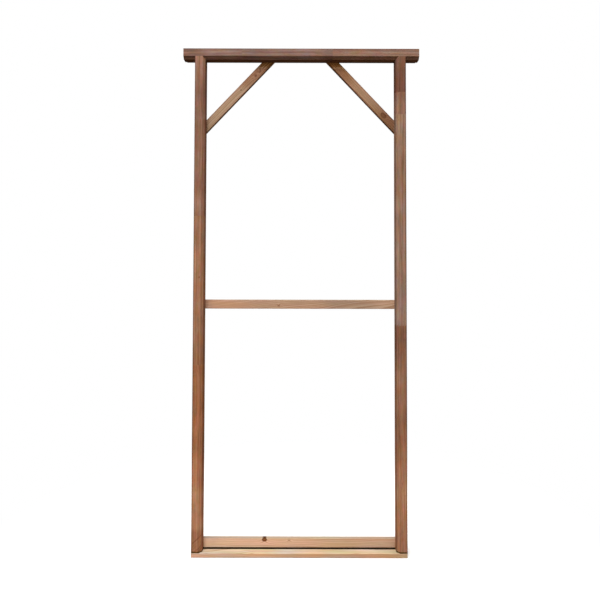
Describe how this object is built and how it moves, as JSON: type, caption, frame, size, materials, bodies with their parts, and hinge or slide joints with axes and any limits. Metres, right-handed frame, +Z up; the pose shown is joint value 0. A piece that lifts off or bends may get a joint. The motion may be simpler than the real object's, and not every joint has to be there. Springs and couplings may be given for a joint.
{
  "type": "wooden door frame",
  "caption": "Chamfered and rebated hardwood door frame with a horned head, a softwood sill with a dark weather strip, and nailed softwood laths that hold it square until it is built in.",
  "frame": {"origin": "on the floor under the middle of the doorway, half way through the frame's depth", "axes": "+Z up along the jambs, +X to the right seen from the chamfered side, +Y back towards the rebate that the door hangs in"},
  "size_m": [0.986, 0.094, 2.092],
  "materials": {
    "hardwood": "planed and unfinished reddish brown hardwood",
    "softwood": "sawn and planed pale softwood, unfinished",
    "strip_rubber": "dull dark brown rubber",
    "nail_steel": "bright wire nails",
    "screw_zinc": "zinc plated"
  },
  "bodies": {
    "root": {"head": "hardwood", "jamb_left": "hardwood", "jamb_right": "hardwood", "wedge_left_outer": "hardwood", "wedge_left_inner": "hardwood", "wedge_right_outer": "hardwood", "wedge_right_inner": "hardwood", "sill": "softwood", "weather_strip": "strip_rubber", "spreader_middle": "softwood", "spreader_bottom": "softwood", "brace_left": "softwood", "brace_right": "softwood", "nail_spreader_middle_left_1": "nail_steel", "nail_spreader_middle_left_2": "nail_steel", "nail_spreader_middle_right_1": "nail_steel", "nail_spreader_middle_right_2": "nail_steel", "nail_spreader_bottom_left_1": "nail_steel", "nail_spreader_bottom_left_2": "nail_steel", "nail_spreader_bottom_right_1": "nail_steel", "nail_spreader_bottom_right_2": "nail_steel", "nail_brace_left_jamb_1": "nail_steel", "nail_brace_left_jamb_2": "nail_steel", "nail_brace_left_head_1": "nail_steel", "nail_brace_left_head_2": "nail_steel", "nail_brace_right_jamb_1": "nail_steel", "nail_brace_right_jamb_2": "nail_steel", "nail_brace_right_head_1": "nail_steel", "nail_brace_right_head_2": "nail_steel", "screw_left_front": "screw_zinc", "screw_left_back": "screw_zinc", "screw_right_front": "screw_zinc", "screw_right_back": "screw_zinc"}
  },
  "joints": []
}
